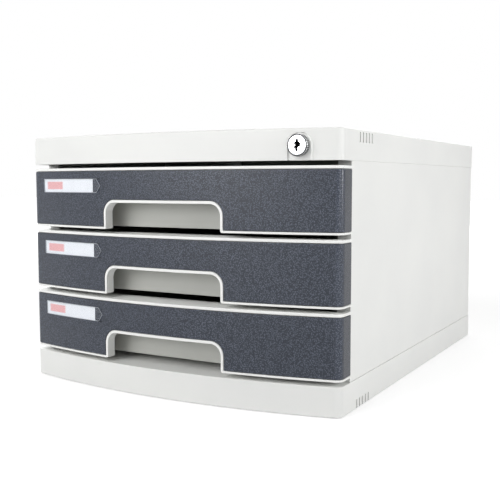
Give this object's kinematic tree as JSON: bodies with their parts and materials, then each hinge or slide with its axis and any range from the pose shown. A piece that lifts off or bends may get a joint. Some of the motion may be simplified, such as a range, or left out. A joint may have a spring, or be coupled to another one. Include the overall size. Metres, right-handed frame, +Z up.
{
  "type": "desktop file drawer",
  "caption": "Bow-fronted desktop file cabinet in pale plastic with dark textured drawer fronts, cut-out handles, label slots and a cam lock in the top cover.",
  "frame": {"origin": "centre of the footprint, on the surface that the feet stand on", "axes": "+Z up, -Y out of the drawer fronts, +X to the right of a person facing the drawers"},
  "size_m": [0.284, 0.37, 0.203],
  "materials": {
    "light_plastic": "fine satin moulding",
    "tray_plastic": "fine satin moulding",
    "dark_plastic": "fine leather-like moulded grain",
    "card_paper": "uncoated card",
    "clear_plastic": "clear polished",
    "foot_rubber": "matte",
    "lock_chrome": "polished plate",
    "plated_steel": "zinc plated",
    "screw_steel": "zinc plated"
  },
  "bodies": {
    "case": {"top_cover": "light_plastic", "base_tray": "light_plastic", "rubber_feet": "foot_rubber", "left_side_panel": "light_plastic", "right_side_panel": "light_plastic", "back_panel": "light_plastic", "case_screws": "screw_steel", "lock_housing": "lock_chrome", "lock_nut": "plated_steel"},
    "lock_plug": {"lock_plug": "lock_chrome", "lock_cam": "plated_steel", "cam_screw": "screw_steel"},
    "lock_bar": {"lock_bar": "plated_steel"},
    "lower_drawer": {"lower_drawer_tray": "tray_plastic", "lower_drawer_front": "light_plastic", "lower_drawer_facing": "dark_plastic", "lower_label_card": "card_paper", "lower_label_window": "clear_plastic"},
    "middle_drawer": {"middle_drawer_tray": "tray_plastic", "middle_drawer_front": "light_plastic", "middle_drawer_facing": "dark_plastic", "middle_label_card": "card_paper", "middle_label_window": "clear_plastic"},
    "upper_drawer": {"upper_drawer_tray": "tray_plastic", "upper_drawer_front": "light_plastic", "upper_drawer_facing": "dark_plastic", "upper_label_card": "card_paper", "upper_label_window": "clear_plastic"}
  },
  "joints": [
    {"name": "lower_drawer_slide", "type": "slide", "parent": "case", "child": "lower_drawer", "axis": [0, -1, 0], "range_m": [0, 0.266]},
    {"name": "middle_drawer_slide", "type": "slide", "parent": "case", "child": "middle_drawer", "axis": [0, -1, 0], "range_m": [0, 0.266]},
    {"name": "upper_drawer_slide", "type": "slide", "parent": "case", "child": "upper_drawer", "axis": [0, -1, 0], "range_m": [0, 0.266]},
    {"name": "lock_turn", "type": "hinge", "parent": "case", "child": "lock_plug", "pos_m": [0.1125, -0.17, 0.191], "axis": [0, 1, 0], "range_deg": [0, 90]},
    {"name": "lock_bar_slide", "type": "slide", "parent": "case", "child": "lock_bar", "axis": [0, 0, -1], "range_m": [0, 0.00848]}
  ],
  "couplings": [
    {"joint": "lock_turn", "follows": "lock_bar_slide", "rad_per_m": 185.12}
  ]
}
